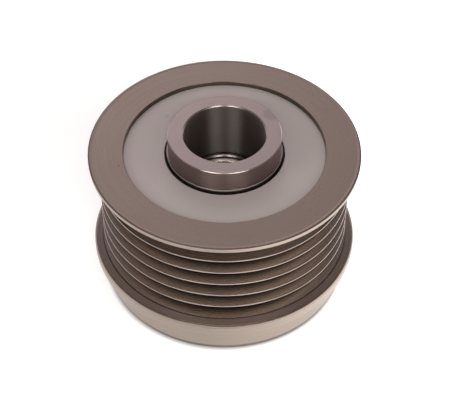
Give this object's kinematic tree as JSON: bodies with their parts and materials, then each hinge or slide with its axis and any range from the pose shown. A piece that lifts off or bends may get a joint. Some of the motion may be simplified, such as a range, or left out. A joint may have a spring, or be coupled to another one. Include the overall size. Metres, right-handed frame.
{
  "type": "overrunning alternator pulley",
  "caption": "Overrunning alternator pulley: a ribbed belt rim runs on ball bearings round a threaded hub, and drives it one way through a sealed roller clutch.",
  "frame": {"origin": "centre of the front face of the skirt, which it stands on", "axes": "+Z along the bore, from the front towards the rear, alternator side; +X and +Y across it"},
  "size_m": [0.0586, 0.0586, 0.0394],
  "materials": {
    "rim_steel": "turned, phosphated grey-brown",
    "hub_steel": "turned and ground",
    "seal_plate_steel": "satin grey",
    "seal_rubber": "matt black",
    "bearing_steel": "ground",
    "ball_steel": "polished",
    "cage_steel": "pressed strip",
    "shield_steel": "pressed sheet",
    "clutch_polymer": "moulded, glass-filled",
    "spring_steel": "folded strip"
  },
  "bodies": {
    "rim": {"pulley_rim": "rim_steel", "rear_seal_plate": "seal_plate_steel", "rear_seal_lip": "seal_rubber", "front_seal_plate": "seal_plate_steel", "front_seal_lip": "seal_rubber", "clutch_outer_race": "bearing_steel", "rear_bearing_outer_ring": "bearing_steel", "rear_bearing_rear_shield": "shield_steel", "rear_bearing_front_shield": "shield_steel", "front_bearing_outer_ring": "bearing_steel", "front_bearing_rear_shield": "shield_steel", "front_bearing_front_shield": "shield_steel"},
    "hub": {"hub": "hub_steel", "clutch_cam_ring": "bearing_steel", "clutch_rollers": "ball_steel", "clutch_cage": "clutch_polymer", "clutch_springs": "spring_steel", "rear_bearing_inner_ring": "bearing_steel", "front_bearing_inner_ring": "bearing_steel"},
    "rear_ball_set": {"rear_bearing_balls": "ball_steel", "rear_bearing_cage_rear_half": "cage_steel", "rear_bearing_cage_front_half": "cage_steel"},
    "front_ball_set": {"front_bearing_balls": "ball_steel", "front_bearing_cage_rear_half": "cage_steel", "front_bearing_cage_front_half": "cage_steel"}
  },
  "joints": [
    {"name": "freewheel", "type": "hinge", "parent": "rim", "child": "hub", "pos_m": [0, 0, 0.0175], "axis": [0, 0, 1], "range_deg": [0, 1050]},
    {"name": "rear_ball_orbit", "type": "hinge", "parent": "rim", "child": "rear_ball_set", "pos_m": [0, 0, 0.0285], "axis": [0, 0, 1], "range_deg": [0, 451]},
    {"name": "front_ball_orbit", "type": "hinge", "parent": "rim", "child": "front_ball_set", "pos_m": [0, 0, 0.0075], "axis": [0, 0, 1], "range_deg": [0, 451]}
  ],
  "couplings": [
    {"joint": "rear_ball_orbit", "follows": "freewheel", "ratio": 0.42893},
    {"joint": "front_ball_orbit", "follows": "freewheel", "ratio": 0.42893}
  ]
}
